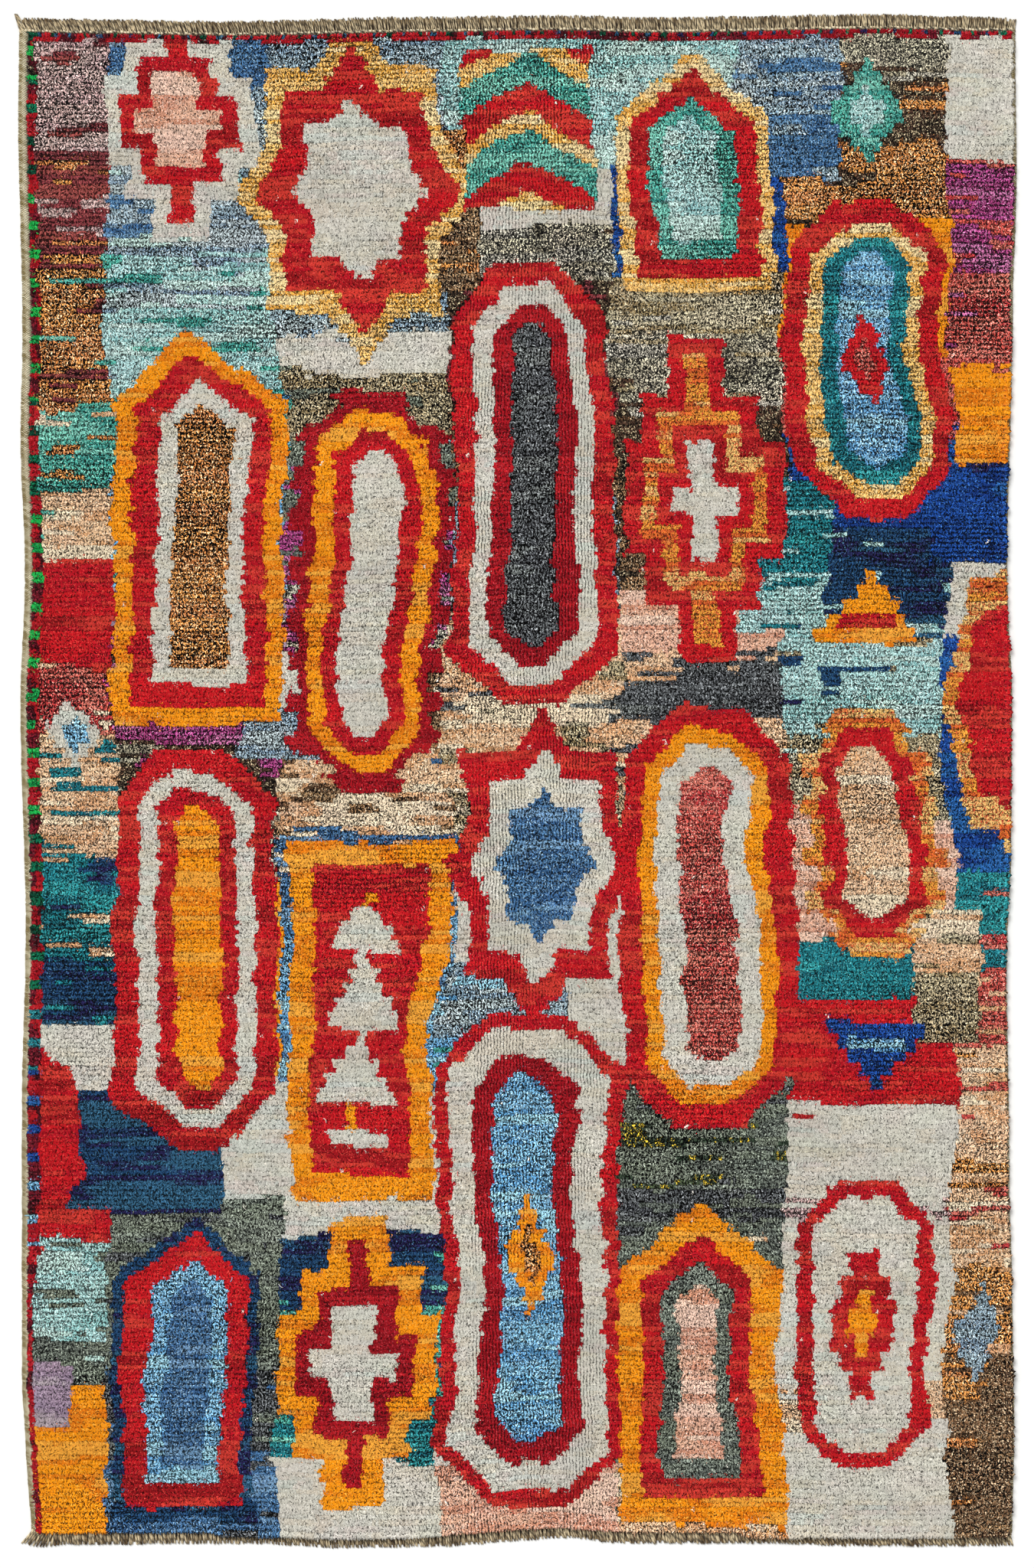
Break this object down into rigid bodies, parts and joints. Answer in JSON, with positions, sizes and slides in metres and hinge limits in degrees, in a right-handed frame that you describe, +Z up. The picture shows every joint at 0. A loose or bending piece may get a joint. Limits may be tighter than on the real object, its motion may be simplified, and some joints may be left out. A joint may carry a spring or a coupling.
{
  "type": "turkish rug",
  "caption": "Hand-knotted wool pile rug lying flat, with overcast side cords and a short warp fringe along both ends.",
  "frame": {"origin": "on the floor under the middle of the rug's box, fringes included", "axes": "+Y along the length towards the end with the patterned guard stripe, +X to the right seen from above, +Z up out of the pile"},
  "size_m": [2.0006, 3.0638, 0.016],
  "materials": {
    "wool_pile": "cut wool pile, matt with a soft sheen",
    "selvage_yarn": "overcast wool yarn, matt",
    "warp_fringe": "twisted warp yarn, matt"
  },
  "bodies": {
    "root": {"pile": "wool_pile", "selvage_left": "selvage_yarn", "selvage_right": "selvage_yarn", "fringe_top": "warp_fringe", "fringe_bottom": "warp_fringe"}
  },
  "joints": []
}
